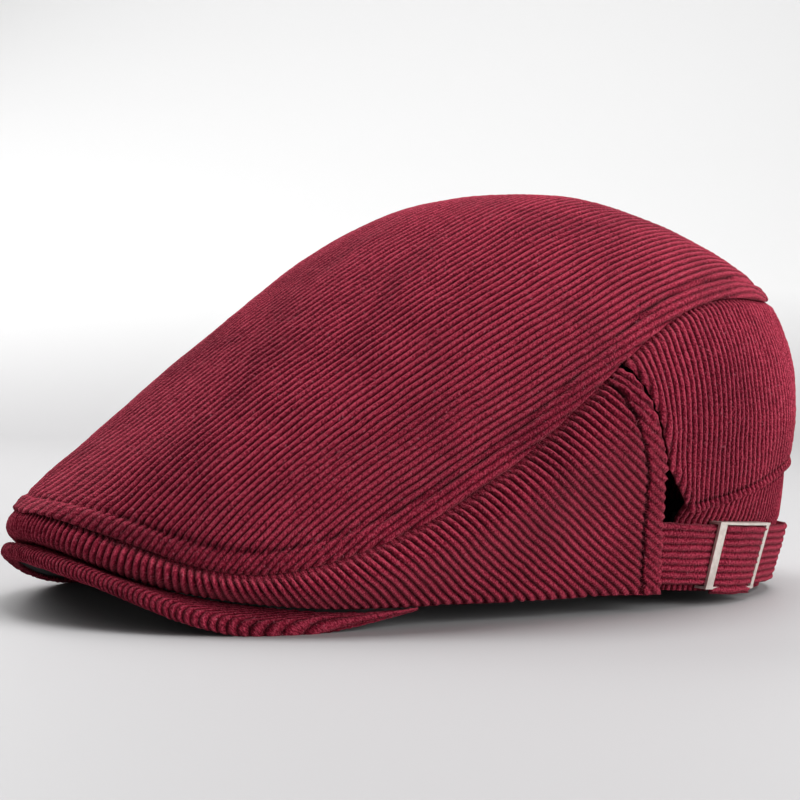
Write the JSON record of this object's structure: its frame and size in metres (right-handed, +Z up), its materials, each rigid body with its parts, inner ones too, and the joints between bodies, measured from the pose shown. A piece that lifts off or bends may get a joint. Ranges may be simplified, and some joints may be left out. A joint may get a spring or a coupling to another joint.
{
  "type": "flat cap",
  "caption": "Soft corduroy flat cap with a stiff arched peak, a one-piece top panel, side and back panels, and a strap with a sliding metal buckle across the opening at the back left.",
  "frame": {"origin": "centre of the bounding box in plan, at the level of the table the cap rests on", "axes": "+Y towards the back of the cap, the peak pointing along -Y; +X towards the wearer's left; +Z up"},
  "size_m": [0.2078, 0.2674, 0.1288],
  "materials": {
    "corduroy": "wine red corduroy, about ten wales to the inch",
    "buckle_metal": "satin nickel plate",
    "peak_board": "plain moulded board, hidden",
    "black_cloth": "plain black cotton",
    "sweatband_cloth": "black twill tape"
  },
  "bodies": {
    "cap": {"top_panel": "corduroy", "side_panel_left": "corduroy", "side_panel_right": "corduroy", "back_panel": "corduroy", "back_band": "corduroy", "adjust_strap": "corduroy", "peak_top_cover": "corduroy", "peak_board": "peak_board", "peak_under_cover": "black_cloth", "lining_top": "black_cloth", "lining_side_left": "black_cloth", "lining_side_right": "black_cloth", "lining_back": "black_cloth", "sweatband": "sweatband_cloth", "sweatband_back": "sweatband_cloth"},
    "buckle": {"slide_buckle": "buckle_metal"}
  },
  "joints": [
    {"name": "buckle_slide", "type": "hinge", "parent": "cap", "child": "buckle", "pos_m": [-0.0035, 0.045, 0.0056], "axis": [0, 0.0785, 0.9969], "range_deg": [-10, 13.5]}
  ]
}
